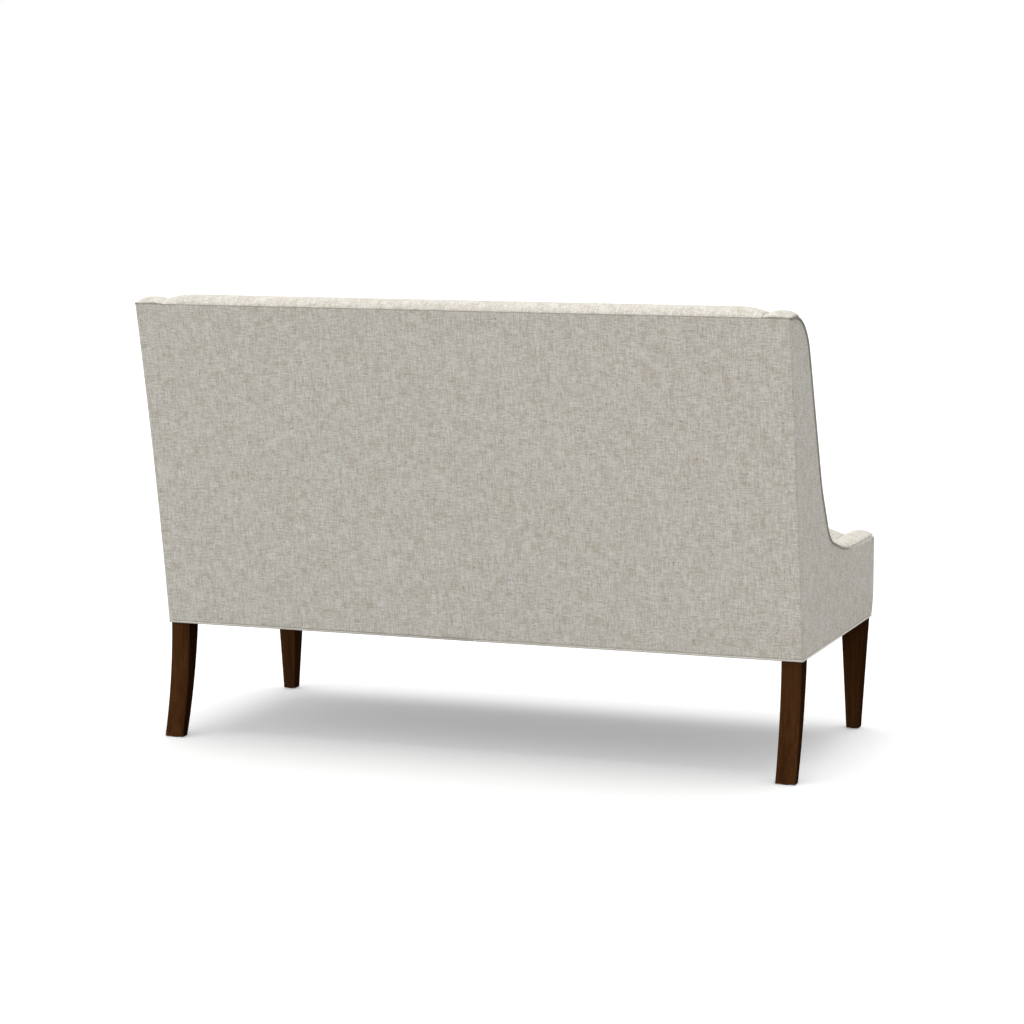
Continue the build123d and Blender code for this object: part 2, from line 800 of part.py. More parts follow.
# Dust cover under the frame, cut away round the legs
dust_half = frame_half - dust_margin
dust_rear = back_y(frame_bottom, post_rear) - dust_margin
with BuildPart() as dust_cover:
    add(
        bar(
            (-dust_half, frame_front + dust_margin, frame_bottom - deck_thickness),
            (dust_half, dust_rear, frame_bottom),
        )
    )
    for side in (-1, 1):
        for inner, low_y, high_y in (
            (rear_leg_inner, side_rail_rear, rear_y),
            (front_leg_inner, frame_front, front_leg_rear),
        ):
            with Locations((side * (inner + frame_half) / 2, (low_y + high_y) / 2, frame_bottom)):
                Box(
                    frame_half - inner + 2 * soft_gap,
                    high_y - low_y + 2 * soft_gap,
                    hem,
                    mode=Mode.SUBTRACT,
                )
save(dust_cover, "dust_cover")
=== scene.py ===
# %% [markdown]
# # A dining banquette in linen
#
# This lesson dresses a packed furniture frame. The frame already holds every rail, post, screw and
# strap at its real place. What it lacks is everything that an upholsterer adds: covers that pull
# tight over padding, piping along the seams, cloth with slubs in it, and stained legs.

# %% Load the frame
import json
from math import cos, pi, radians, sin, sqrt

import bpy
import numpy as np
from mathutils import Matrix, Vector


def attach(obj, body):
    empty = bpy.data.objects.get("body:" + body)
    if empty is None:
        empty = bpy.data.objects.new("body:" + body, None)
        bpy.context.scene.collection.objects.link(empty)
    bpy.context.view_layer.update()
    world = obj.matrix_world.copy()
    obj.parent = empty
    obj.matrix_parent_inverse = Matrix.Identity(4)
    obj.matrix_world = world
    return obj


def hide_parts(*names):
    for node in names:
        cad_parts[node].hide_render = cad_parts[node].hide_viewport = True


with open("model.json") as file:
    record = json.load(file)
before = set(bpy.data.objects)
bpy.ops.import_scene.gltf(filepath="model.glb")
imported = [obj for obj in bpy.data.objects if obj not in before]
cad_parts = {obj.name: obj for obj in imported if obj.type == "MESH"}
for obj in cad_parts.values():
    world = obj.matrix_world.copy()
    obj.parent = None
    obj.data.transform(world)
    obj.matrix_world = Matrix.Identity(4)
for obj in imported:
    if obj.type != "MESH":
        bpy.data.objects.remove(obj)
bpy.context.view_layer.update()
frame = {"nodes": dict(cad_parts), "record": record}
print("frame nodes:", len(frame["nodes"]))

# %% [markdown]
# ## The sizes that the covers share
#
# The covers follow the frame's driving sizes, so these are written again here in metres. X runs
# across the seat, the front looks towards -Y, and Z is up. The outside back is an arc that leans
# backwards. Each layer in front of it is the same arc with a larger radius, so one function gives
# the place of any layer.

# %% Sizes
half_width = 0.762
body_bottom, back_height = 0.265, 1.018
rear_top_y, rear_y, front_y = 0.400, 0.253, -0.396
back_bow = 0.008
arm_height, seam_rise = 0.452, 0.005
panel_thickness, panel_bottom = 0.004, 0.2702
wing_inner, ply_inner = 0.700, 0.740
deck_top, foam_top, welt_base = 0.4026, 0.4466, 0.4468
pad_back, pad_front = 0.0584, 0.1284
post_top = 0.998
nose_overhang = 0.004
soft_gap, board_gap = 0.0003, 0.0002
arm_welt_radius, seat_welt_radius, bottom_welt_radius = 0.0024, 0.0025, 0.0025
welt_proud, arm_welt_proud = 0.0014, 0.0028

arm_seam = arm_height + seam_rise
frame_half = half_width - panel_thickness
frame_front = front_y + panel_thickness
nose_front = front_y - nose_overhang
roll_outer = frame_half - soft_gap

back_lean = rear_top_y - rear_y
back_rise = back_height - body_bottom
back_chord = sqrt(back_lean**2 + back_rise**2)
back_radius = (back_chord**2 / 4 + back_bow**2) / (2 * back_bow)
centre_share = (back_radius - back_bow) / back_chord
back_centre = (
    rear_y + back_lean / 2 + back_rise * centre_share,
    body_bottom + back_rise / 2 - back_lean * centre_share,
)


def back_y(z, inset=0.0):
    """Y at height z on the arc that runs `inset` in front of the outside back.

    It is the centre's Y less the root of the radius squared less the height from it squared."""
    return back_centre[0] - np.sqrt((back_radius + inset) ** 2 - (z - back_centre[1]) ** 2)


print("outside back: radius", round(back_radius, 3), "m, top", round(float(back_y(back_height)), 4))

# %% [markdown]
# ## Curves to build along
#
# Two kinds of curve are needed. The swoop of the side is a line with rounded corners, as a maker
# draws it on plywood: straight runs, with an arc at each corner. The padded profiles are free
# curves through a few points. Both end up as evenly spaced points, which keeps a surface calm.

# %% Curve helpers
def distances(points, axis=0):
    """How far along its line each point lies: the steps between the points, added up."""
    added = np.cumsum(np.linalg.norm(np.diff(points, axis=axis), axis=-1), axis=axis)
    return np.concatenate([np.zeros_like(added.take([0], axis)), added], axis)


def unit(vectors):
    """The same directions with a length of 1."""
    return vectors / np.linalg.norm(vectors, axis=-1, keepdims=True)


def fade(value, start, end):
    """0 before `start`, 1 past `end` and an even slope between; `end` may be the smaller."""
    return np.clip((value - start) / (end - start), 0, 1)


def smooth_step(share):
    """A slope from 0 to 1 made level at both ends: three squares less two cubes."""
    return share**2 * (3 - 2 * share)


def even(points, count):
    """The same line as `count` points at equal steps along its length."""
    points = np.asarray(points, float)
    along = distances(points)
    steps = np.linspace(0, along[-1], count)
    return np.stack([np.interp(steps, along, column) for column in points.T], axis=1)


def rounded(corners, radii, arc_points=24):
    """A line through the corners with an arc of the given radius at each inner one.

    An arc starts before its corner by the radius times the tangent of half the turn. From there it
    goes on by the sine of the turn, and across by one less its cosine, times the radius."""
    corners = np.asarray(corners, float)
    runs = unit(np.diff(corners, axis=0))
    line = [corners[:1]]
    for corner, before, after, radius in zip(corners[1:-1], runs, runs[1:], radii):
        turn = np.arccos(np.clip(before @ after, -1, 1))
        start = corner - before * radius * np.tan(turn / 2)
        towards = unit(after - before * (before @ after))
        swing = np.linspace(0, turn, arc_points)[:, None]
        line.append(start + radius * (np.sin(swing) * before + (1 - np.cos(swing)) * towards))
    return np.concatenate(line + [corners[-1:]])


def free_curve(points, count, fineness=40):
    """A natural cubic spline through the points, timed by the distances between them.

    The bend at each point is solved so that the slope runs on through it, with none at the ends."""
    points = np.asarray(points, float)
    time = distances(points)
    gap = np.diff(time)
    size = len(points)
    matrix = np.eye(size)
    inner = np.arange(1, size - 1)
    matrix[inner, inner - 1] = gap[:-1]
    matrix[inner, inner] = 2 * (gap[:-1] + gap[1:])
    matrix[inner, inner + 1] = gap[1:]
    slope = np.diff(points, axis=0) / gap[:, None]
    right = np.zeros_like(points)
    right[1:-1] = 6 * np.diff(slope, axis=0)
    bend = np.linalg.solve(matrix, right)
    when = np.linspace(0, time[-1], fineness * size)
    k = np.clip(np.searchsorted(time, when, side="right") - 1, 0, size - 2)
    a, b = (time[k + 1] - when)[:, None], (when - time[k])[:, None]
    g = gap[k][:, None]
    curve = (bend[k] * a**3 + bend[k + 1] * b**3) / (6 * g)
    curve += (points[k] / g - bend[k] * g / 6) * a + (points[k + 1] / g - bend[k + 1] * g / 6) * b
    return even(curve, count)


swoop_corners = [
    (rear_top_y - 0.134, back_height),
    (rear_y - 0.142, arm_height + 0.176),
    (rear_y - 0.224, arm_height + 0.049),
    (rear_y - 0.390, arm_seam),
]
swoop_radii = [0.133, 0.335, 0.100, 0.580]


def swoop(start_y, end_y, count):
    """The swoop seam between two depths as (Y, Z) points, and the directions that lead out of it."""
    corners = [(start_y, back_height)] + swoop_corners + [(end_y, arm_seam)]
    line = even(rounded(corners, swoop_radii), count)
    along = unit(np.gradient(line, axis=0))
    return line, np.stack([along[:, 1], -along[:, 0]], axis=1)


seam_line, _ = swoop(rear_top_y, front_y, 400)
print("swoop seam:", round(float(distances(seam_line)[-1]), 3), "m a side")

# %% [markdown]
# ## Camera and suns
#
# The camera stands behind the banquette, towards its left arm and a little above the top of the
# back, with a long lens. A lamp close by would light one end more than the other, so all the lamps
# are suns, and each is broad, for soft edges: one from high up brightens the tops, a low one fills
# the outside back, and a faint one keeps the front from going dull.

# %% Camera and suns
scene = bpy.context.scene
scene.view_settings.view_transform = "Standard"

camera_data = bpy.data.cameras.new("camera")
camera_data.sensor_width = 36
camera_data.lens = 103.31
camera = bpy.data.objects.new("camera", camera_data)
yaw, pitch = 0.3507, 0.1307
camera.location = (-2.32176, 6.34792, 1.41638)
look = Vector((sin(yaw) * cos(pitch), -cos(yaw) * cos(pitch), -sin(pitch)))
camera.rotation_euler = look.to_track_quat("-Z", "Y").to_euler()
scene.collection.objects.link(camera)
scene.camera = camera


def sun(name, strength, spread, height, round_from_front):
    """A sun of that angular spread, `height` degrees up, turned that far round from the front."""
    lamp = bpy.data.lights.new(name, "SUN")
    lamp.energy = strength
    lamp.angle = radians(spread)
    light = bpy.data.objects.new(name, lamp)
    side = radians(round_from_front)
    up = radians(height)
    place = Vector((sin(side) * cos(up), -cos(side) * cos(up), sin(up)))
    light.rotation_euler = place.to_track_quat("Z", "Y").to_euler()
    scene.collection.objects.link(light)


sun("high_sun", strength=1.56, spread=54, height=84, round_from_front=0)
sun("rear_fill", strength=1.10, spread=90, height=15, round_from_front=150)
sun("front_fill", strength=0.20, spread=120, height=35, round_from_front=20)
print("camera lens", camera_data.lens, "mm")

# %% [markdown]
# ## Shader maths as plain expressions
#
# A finish is easier to read as a formula than as a web of nodes. `Signal` wraps the output of a
# node, and adding or multiplying two signals adds the Math node that does it. `Finish` holds one
# material, with one method for any other node.

# %% Signal and Finish
class Signal:
    """A value that runs through a node tree, with arithmetic that adds Math nodes."""

    def __init__(self, tree, socket):
        self.tree = tree
        self.socket = socket

    def math(self, operation, left, right):
        node = self.tree.nodes.new("ShaderNodeMath")
        node.operation = operation
        for slot, value in zip(node.inputs, (left, right)):
            plug(self.tree, slot, value)
        return Signal(self.tree, node.outputs[0])

    def __add__(self, other):
        return self.math("ADD", self, other)

    def __sub__(self, other):
        return self.math("SUBTRACT", self, other)

    def __rsub__(self, other):
        return self.math("SUBTRACT", other, self)

    def __mul__(self, other):
        return self.math("MULTIPLY", self, other)

    __radd__ = __add__
    __rmul__ = __mul__


def plug(tree, slot, value):
    """Link a signal into a socket, or set the socket to a value."""
    if isinstance(value, Signal):
        tree.links.new(value.socket, slot)
    else:
        slot.default_value = value


class Finish:
    """A material, or the world, whose nodes are added by one method."""

    def __init__(self, owner):
        self.owner = owner
        owner.use_nodes = True
        self.tree = owner.node_tree
        self.tree.nodes.clear()

    def node(self, kind, inputs=None, output=0, **settings):
        """Add a node: its settings first, then the values or links of its inputs."""
        node = self.tree.nodes.new("ShaderNode" + kind)
        for name, value in settings.items():
            setattr(node, name, value)
        for slot, value in (inputs or {}).items():
            plug(self.tree, node.inputs[slot], value)
        return Signal(self.tree, node.outputs[output]) if node.outputs else node

    def noise(self, place, stretch, detail, seed):
        """Noise from 0 to 1 whose grain is 1/stretch long each way."""
        moved = self.node("Mapping", {"Vector": place, "Location": (seed, seed, seed), "Scale": stretch})
        return self.node("TexNoise", {"Vector": moved, "Scale": 1.0, "Detail": detail})

    def ramp(self, value, low, high):
        """0 below low, 1 above high and a smooth step between."""
        return self.node("MapRange", {"Value": value, "From Min": low, "From Max": high},
                         interpolation_type="SMOOTHSTEP")

    def mix(self, share, first, second):
        """A colour between two."""
        return self.node("Mix", {0: share, 6: first, 7: second}, 2, data_type="RGBA")

    def surface(self, bump, **sockets):
        """The Principled surface: a bump's height and depth, then sockets, underscores for spaces."""
        inputs = {name.replace("_", " "): value for name, value in sockets.items()}
        height, depth = bump
        inputs["Normal"] = self.node("Bump", {"Height": height, "Distance": depth, "Strength": 1.0})
        shader = self.node("BsdfPrincipled", inputs)
        self.node("OutputMaterial", {"Surface": shader})
        return self.owner


def new_finish(name):
    return Finish(bpy.data.materials.new(name))


print("shader helpers: Signal, Finish")

# %% [markdown]
# ## World and floor
#
# The world is a plain dome. Rays that go straight to the eye, or by way of a shiny or clear
# surface, see it white; the rest of its light is dimmer, so that upright cloth keeps its tone. The
# floor does the same: those rays see white paper that glows a little, which keeps the shadow pale,
# while the cloth gets the light of a grey card. It is clear from underneath, so that the banquette
# can be seen from there.

# %% World and floor
def seen_directly(finish):
    """1 for rays from the eye, straight or by way of a shiny or clear surface, else 0."""
    eye, shiny, clear = (
        finish.node("LightPath", output=name)
        for name in ("Is Camera Ray", "Is Glossy Ray", "Is Transmission Ray")
    )
    return eye + shiny + clear


white = (1, 1, 1, 1)
dome_light = 0.51
dome = Finish(bpy.data.worlds.new("studio"))
scene.world = dome.owner
strength = seen_directly(dome) * (1 - dome_light) + dome_light
dome.node("OutputWorld", {"Surface": dome.node("Background", {"Color": white, "Strength": strength})})

card_grey = (0.40, 0.40, 0.40, 1)
glow_share, glow_strength = 0.1, 2.5
floor_finish = new_finish("floor_paper")
grey_card = floor_finish.node("BsdfDiffuse", {"Color": card_grey})
white_card = floor_finish.node("BsdfDiffuse", {"Color": white})
lit_paper = floor_finish.node("Emission", {"Color": white, "Strength": glow_strength})
paper = floor_finish.node("MixShader", {0: glow_share, 1: white_card, 2: lit_paper})
shown = floor_finish.node("MixShader", {0: seen_directly(floor_finish), 1: grey_card, 2: paper})
from_below = floor_finish.node("NewGeometry", output="Backfacing")
see_through = floor_finish.node("BsdfTransparent")
one_way = floor_finish.node("MixShader", {0: from_below, 1: shown, 2: see_through})
floor_finish.node("OutputMaterial", {"Surface": one_way})

floor_reach = 30.0
floor_mesh = bpy.data.meshes.new("floor")
floor_mesh.from_pydata(
    [(x * floor_reach, y * floor_reach, 0) for x, y in ((-1, -1), (1, -1), (1, 1), (-1, 1))],
    [], [(0, 1, 2, 3)],
)
floor = bpy.data.objects.new("floor", floor_mesh)
floor.data.materials.append(floor_finish.owner)
scene.collection.objects.link(floor)
print("floor", 2 * floor_reach, "m square")

# %% [markdown]
# ## Linen
#
# The cover is an oatmeal cloth woven from uneven yarn. Close up it is a plain weave. From a few
# steps away one sees what the uneven yarn does: short tan and grey dashes both across and down,
# soft blotches where several thick yarns meet, and here and there a dark fleck. A picture of cloth
# would repeat, so each of these is a noise, stretched along its own yarn, on a map laid out in
# metres on every cover.

# %% Linen finish
long_slub, short_slub = (38, 620), (170, 760)
thread_scale, weave_depth = 95.0, 0.00025
# Colour of the shade painted along seams and creases.
seam_shade = (0.09, 0.08, 0.065, 1)


def linen(name, light, dark, rose, olive, fleck):
    """Light yarn, darker where the noises of the yarns add up, tinted in patches and flecked.

    Shade is painted on the cloth within about 2 mm of a sewn edge or crease, and the weave raises it."""
    finish = new_finish(name)
    cloth = finish.node("UVMap", uv_map="cloth")
    across = finish.noise(cloth, (*long_slub, 1), detail=2.0, seed=3.1)
    down = finish.noise(cloth, (*long_slub[::-1], 1), detail=2.0, seed=7.7)
    short_across = finish.noise(cloth, (*short_slub, 1), detail=1.0, seed=12.4)
    short_down = finish.noise(cloth, (*short_slub[::-1], 1), detail=1.0, seed=17.9)
    blotch = finish.noise(cloth, (42, 50, 1), detail=3.0, seed=23.3)
    yarn = across * 0.38 + down * 0.38 + short_across * 0.26 + short_down * 0.26 + blotch * 0.11
    shade = finish.ramp(yarn, 0.56, 0.84)
    colour = finish.mix(shade, light, dark)

    warm = finish.ramp(finish.noise(cloth, (55, 60, 1), detail=3.0, seed=52.6), 0.52, 0.68)
    green = finish.ramp(finish.noise(cloth, (60, 55, 1), detail=3.0, seed=67.2), 0.50, 0.66)
    colour = finish.mix(warm * 0.27 * (0.4 + shade), colour, rose)
    colour = finish.mix(green * 0.30 * (0.4 + shade), colour, olive)

    knots = finish.noise(cloth, (190, 230, 1), detail=1.0, seed=41.7)
    speck = finish.ramp(knots, 0.66, 0.74) * finish.ramp(shade, 0.30, 0.70)
    colour = finish.mix(speck * 0.60, colour, fleck)

    # Painted shade: the cloth is darkened near seams and creases, where shade falls.
    from_seam = finish.node("Attribute", output="Fac", attribute_name="seam")
    colour = finish.mix((1 - finish.ramp(from_seam, 0.0002, 0.0022)) * 0.62, colour, seam_shade)

    thread = {"Vector": cloth, "Scale": thread_scale, "Distortion": 0.6, "Detail": 1.0}
    warp, weft = (finish.node("TexWave", thread, 1, bands_direction=way) for way in ("X", "Y"))
    weave = warp * 0.35 + weft * 0.35 + across * 0.5 + down * 0.5
    return finish.surface(
        bump=(weave, weave_depth), Base_Color=colour, Roughness=0.92, Specular_IOR_Level=0.2,
        Sheen_Weight=0.10, Sheen_Roughness=0.5,
    )


cloth_finish = linen(
    "linen", light=(0.88, 0.855, 0.795, 1), dark=(0.560, 0.525, 0.450, 1),
    rose=(0.61, 0.49, 0.385, 1), olive=(0.50, 0.465, 0.315, 1), fleck=(0.24, 0.185, 0.12, 1),
)
piping_finish = linen(
    "piping_linen", light=(0.86, 0.84, 0.785, 1), dark=(0.68, 0.645, 0.57, 1),
    rose=(0.72, 0.63, 0.54, 1), olive=(0.66, 0.63, 0.50, 1), fleck=(0.45, 0.39, 0.30, 1),
)
print("linen and piping finishes made")

# %% [markdown]
# ## Wood, and what the frame hides
#
# The legs are stained almost to black coffee, with a dead flat finish. Grain runs up the leg, so
# the noise is stretched along Z, with fine open pores laid over it. The legs' sides should come out
# nearly black beside their brown rear faces, which soft light alone doesn't give, so shade is painted
# into the finish on any face that looks along X. The rails inside use the same recipe in a pale
# colour, without that painted shade. Straps, cloths, card, screws and glides each get a small finish of
# their own.

# %% Wood and hidden finishes
flank_shade_black = (0.0, 0.0, 0.0, 1)


def wood(name, dark, light, roughness, painted_flank_shade=0.0):
    """Two browns by figure and grain, with dark pores; the last argument paints shade on faces that look
    sideways.
    """
    finish = new_finish(name)
    place = finish.node("TexCoord", output="Object")
    sideways = finish.node("SeparateXYZ", {"Vector": finish.node("TexCoord", output="Normal")})
    figure = finish.noise(place, (22, 22, 1.6), detail=3.0, seed=2.0)
    grain = finish.noise(place, (160, 160, 5), detail=3.0, seed=5.0)
    pores = finish.ramp(finish.noise(place, (900, 900, 26), detail=1.0, seed=9.0), 0.60, 0.72)
    tone = finish.ramp(figure * 0.55 + grain * 0.45, 0.26, 0.74)
    colour = finish.mix(pores * 0.45, finish.mix(tone, dark, light), dark)
    # Painted shade: faces whose normal points along X are darkened towards black.
    colour = finish.mix(finish.ramp(sideways * sideways, 0.35, 0.85) * painted_flank_shade, colour, flank_shade_black)
    return finish.surface(
        bump=(grain * 0.4 - pores * 0.6, 0.0003), Base_Color=colour, Specular_IOR_Level=0.0,
        Roughness=roughness + pores * 0.15,
    )


def plain_weave(name, dark, light, threads):
    """Dark and light by rows of thread both ways and by loose fibre, raised by the rows."""
    finish = new_finish(name)
    place = finish.node("TexCoord", output="Object")
    thread = {"Vector": place, "Scale": threads, "Distortion": 0.4}
    rows, ranks = (finish.node("TexWave", thread, 1, bands_direction=way) for way in ("X", "Z"))
    fibre = finish.noise(place, (300, 300, 300), detail=2.0, seed=1.0)
    colour = finish.mix(rows * 0.3 + ranks * 0.3 + fibre * 0.4, dark, light)
    return finish.surface(bump=(rows + ranks, 0.0004), Base_Color=colour, Roughness=0.9)


def moulded(name, colour, roughness, metallic=0.0):
    """One colour with a fine speckle in its roughness and height."""
    finish = new_finish(name)
    place = finish.node("TexCoord", output="Object")
    speckle = finish.noise(place, (700, 700, 700), detail=2.0, seed=4.0)
    return finish.surface(
        bump=(speckle, 0.0001), Base_Color=(*colour, 1), Metallic=metallic,
        Roughness=roughness + speckle * 0.12,
    )


finishes = {
    "dark_wood": wood(
        "dark_walnut", (0.041, 0.0142, 0.0042, 1), (0.097, 0.040, 0.0140, 1), 0.45, painted_flank_shade=0.50,
    ),
    "frame_wood": wood("bare_beech", (0.42, 0.27, 0.14, 1), (0.58, 0.41, 0.24, 1), 0.6),
    "plywood": wood("bare_birch", (0.52, 0.38, 0.22, 1), (0.66, 0.52, 0.34, 1), 0.6),
    "linen": cloth_finish,
    "piping": piping_finish,
    "foam": moulded("foam", (0.78, 0.72, 0.50), 0.85),
    "webbing": plain_weave("webbing", (0.030, 0.022, 0.015, 1), (0.10, 0.075, 0.05, 1), 140.0),
    "deck_cloth": plain_weave("deck_cloth", (0.24, 0.19, 0.12, 1), (0.38, 0.31, 0.21, 1), 220.0),
    "dust_cloth": plain_weave("dust_cloth", (0.006, 0.006, 0.007, 1), (0.022, 0.022, 0.024, 1), 260.0),
    "card": moulded("card", (0.38, 0.28, 0.16), 0.85),
    "steel": moulded("zinc", (0.60, 0.60, 0.58), 0.32, metallic=1.0),
    "nylon": moulded("nylon", (0.012, 0.011, 0.010), 0.45),
}
for subpart in frame["record"]["subparts"]:
    node = frame["nodes"][subpart["node"]]
    node.data.materials.clear()
    node.data.materials.append(finishes[subpart["material_slot"]])
print("finishes:", ", ".join(finishes))

# %% [markdown]
# ## From grids to meshes
#
# Every cover is a grid of points, of two kinds. A `slab` is a front sheet and a back sheet joined
# round the edge, for panels on a board. A `tube` is a closed ring of points carried from station to
# station and shut at both ends, for pads, rolls and piping. Both also lay the cloth map: how far
# along the cloth a point is, in metres, both ways.

# %% Mesh helpers
unsewn = 0.05


def make_piece(name, points, faces, corner_map, seam, slot, replaced):
    """A mesh object from points, faces and the cloth map of each face corner, riding on the frame.

    `seam` is each point's distance from the nearest sewn edge, or `unsewn` where none is near; the linen
    paints shade where it is small."""
    mesh = bpy.data.meshes.new(name)
    mesh.from_pydata(points.reshape(-1, 3).tolist(), [], [face.tolist() for face in faces])
    layer = mesh.uv_layers.new(name="cloth")
    layer.data.foreach_set("uv", np.concatenate(corner_map).astype(np.float32).ravel())
    sewn = mesh.attributes.new("seam", "FLOAT", "POINT")
    sewn.data.foreach_set("value", np.ravel(seam).astype(np.float32))
    mesh.polygons.foreach_set("use_smooth", np.ones(len(mesh.polygons), bool))
    mesh.materials.append(finishes[slot])
    piece = bpy.data.objects.new(name, mesh)
    scene.collection.objects.link(piece)
    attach(piece, "root")
    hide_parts(*replaced)
    print(name, len(mesh.vertices), "points,", len(mesh.polygons), "faces")
    return piece


def quads(rows, columns, wrap=False):
    """The four corner numbers of each cell of a grid, its last column joined to its first if asked."""
    i, j = np.meshgrid(np.arange(rows - 1), np.arange(columns if wrap else columns - 1), indexing="ij")
    k = (j + 1) % columns
    return np.stack([i * columns + j, i * columns + k, (i + 1) * columns + k, (i + 1) * columns + j], -1)


def outward(points, faces, corners):
    """Faces and their maps turned so that the closed shape's faces point out of it.

    Each face fans out into triangles, and the volumes that these span from the middle are added:
    a sum below 0 means that the faces point inwards."""
    flat = points.reshape(-1, 3)
    middle = flat.mean(axis=0)
    volume = 0.0
    for group in faces:
        fan = flat[group] - middle
        first, second = fan[:, 1:-1], fan[:, 2:]
        volume += np.einsum("ij,ikj->", fan[:, 0], np.cross(first, second))
    if volume < 0:
        faces = [group[:, ::-1] for group in faces]
        corners = [group[:, ::-1] for group in corners]
    return [face for group in faces for face in group], [corner for group in corners for corner in group]


def tube(name, rings, cloth, seam, slot, replaced):
    """Closed rings carried along a path: points [station, place on the ring, xyz].

    `cloth` is the map at each point, with one more place on the ring, where it closes."""
    stations, count = rings.shape[:2]
    sides = quads(stations, count, wrap=True)
    side_map = np.stack([cloth[:-1, :-1], cloth[:-1, 1:], cloth[1:, 1:], cloth[1:, :-1]], 2)
    ends = np.stack([np.arange(count)[::-1], (stations - 1) * count + np.arange(count)])
    end_map = np.stack([rings[0, ::-1, 1:], rings[-1, :, 1:]])
    groups = [sides.reshape(-1, 4), ends]
    maps = [side_map.reshape(-1, 4, 2), end_map]
    seam = np.broadcast_to(seam, (stations, count))
    return make_piece(name, rings, *outward(rings, groups, maps), seam, slot, replaced)


def slab(name, front, back, cloth, slot, replaced, seam=unsewn):
    """A front and a back sheet [row, column, xyz] joined round their edge; cloth is their map."""
    rows, columns = front.shape[:2]
    face = quads(rows, columns).reshape(-1, 4)
    number = np.arange(rows * columns).reshape(rows, columns)
    edge = np.concatenate([number[0, :-1], number[:-1, -1], number[-1, :0:-1], number[:0:-1, 0]])
    follow = np.roll(edge, -1)
    offset = rows * columns
    rim = np.stack([follow, edge, edge + offset, follow + offset], -1)
    flat = np.concatenate([cloth.reshape(-1, 2)] * 2)
    points = np.concatenate([front.reshape(-1, 3), back.reshape(-1, 3)])
    groups = [face, face[:, ::-1] + offset, rim]
    maps = [flat[group] for group in groups]
    seam = np.stack([np.broadcast_to(seam, (rows, columns))] * 2)
    return make_piece(name, points, *outward(points, groups, maps), seam, slot, replaced)


print("mesh helpers: slab, tube")

# %% [markdown]
# ## Panels on a board
#
# The outside back, the two outside arms and the front border are cloth pulled over thin board.
# Their edges are not sharp: the cloth turns over the board's edge on a small radius. A bevel would
# round the cut edge of the swoop unevenly. Here a grid is stretched between the panel's four edges,
# with close rows along them, and each point drops back by how near it is to an edge, so that the
# section there is a quarter circle.

# %% Panel helpers
def graded(count, length, turn=0.006):
    """Steps from 0 to 1, close together within `turn` of either end of a line of that length."""
    near = (1 - np.cos(np.linspace(0, pi / 2, 7))) * turn / length
    far = np.linspace(near[-1], 1 - near[-1], count)
    return np.concatenate([near[:-1], far, (1 - near[:-1])[::-1]])


def at(line, share, fineness=2000):
    """Points of a line at the given shares of its length."""
    even_line = even(line, fineness)
    steps = np.linspace(0, 1, fineness)
    return np.stack([np.interp(share, steps, column) for column in even_line.T], -1)


def stretched(bottom, top, left, right, across, up):
    """A grid between four edges: low and high blended, plus left and right blended, less corners."""
    u, v = across[None, :, None], up[:, None, None]
    low, high = at(bottom, across)[None], at(top, across)[None]
    west, east = at(left, up)[:, None], at(right, up)[:, None]
    grid = (1 - v) * low + v * high + (1 - u) * west + u * east
    low_corners = (1 - u) * low[:, :1] + u * low[:, -1:]
    high_corners = (1 - u) * high[:, :1] + u * high[:, -1:]
    return grid - ((1 - v) * low_corners + v * high_corners)


def turned_edges(grid, radii):
    """How far each point drops back: edge radii are for the bottom, top, left and right.

    Within a radius of an edge it is the radius less the root of its square less the square of how
    far inside the radius the point lies."""
    along_u, along_v = distances(grid, axis=1), distances(grid, axis=0)
    gaps = (along_v, along_v[-1:] - along_v, along_u, along_u[:, -1:] - along_u)
    drop = np.zeros(grid.shape[:2])
    for gap, radius in zip(gaps, radii):
        inside = radius - np.minimum(gap, radius)
        drop = np.maximum(drop, radius - np.sqrt(radius**2 - inside**2))
    return drop


hem_turn = 0.002
print("panel helpers: graded, stretched, turned_edges")

# %% [markdown]
# The outside back is the one panel that is bowed: its grid is laid flat, and each row is then
# pushed on to the arc. The seam under the crest lies along its top edge.

# %% Outside back
back_turns = (hem_turn, 0.0008, 0.0032, 0.0032)
run = half_width * (2 * graded(120, length=2 * half_width) - 1)
rise = panel_bottom + graded(60, length=0.76) * (back_height - panel_bottom)
flat = np.stack(np.meshgrid(run, rise), -1)
drop = turned_edges(flat, back_turns)
outer_back = np.stack([flat[..., 0], back_y(flat[..., 1], drop), flat[..., 1]], -1)
inner_back = np.stack([flat[..., 0], back_y(flat[..., 1], panel_thickness), flat[..., 1]], -1)
# The top edge gets painted shade along the seam under the crest.
slab(
    "outside_back_cover", outer_back, inner_back, flat, "linen", ["outside_back_panel"],
    seam=back_height - flat[..., 1],
)

# %% [markdown]
# An outside arm is cut to the swoop, so its grid is stretched between that curve, the arc of the
# back and two straight edges. Towards the front the padding under the cloth is a little fuller.

# %% Outside arms
both_sides = ((-1, "left"), (1, "right"))
thinner, thin_run = 0.42, (-0.08, -0.20)


def cord_radius(y):
    """The swoop's piping: full along the wing, and drawn thinner along the level arm."""
    return arm_welt_radius * (1 - thinner * fade(y, *thin_run))


behind = panel_thickness + board_gap
arm_turns = (hem_turn, 0.0018, 0.0012, 0.0018)
arm_fullness, full_from_front, full_above_hem = 0.0035, 0.30, 0.070

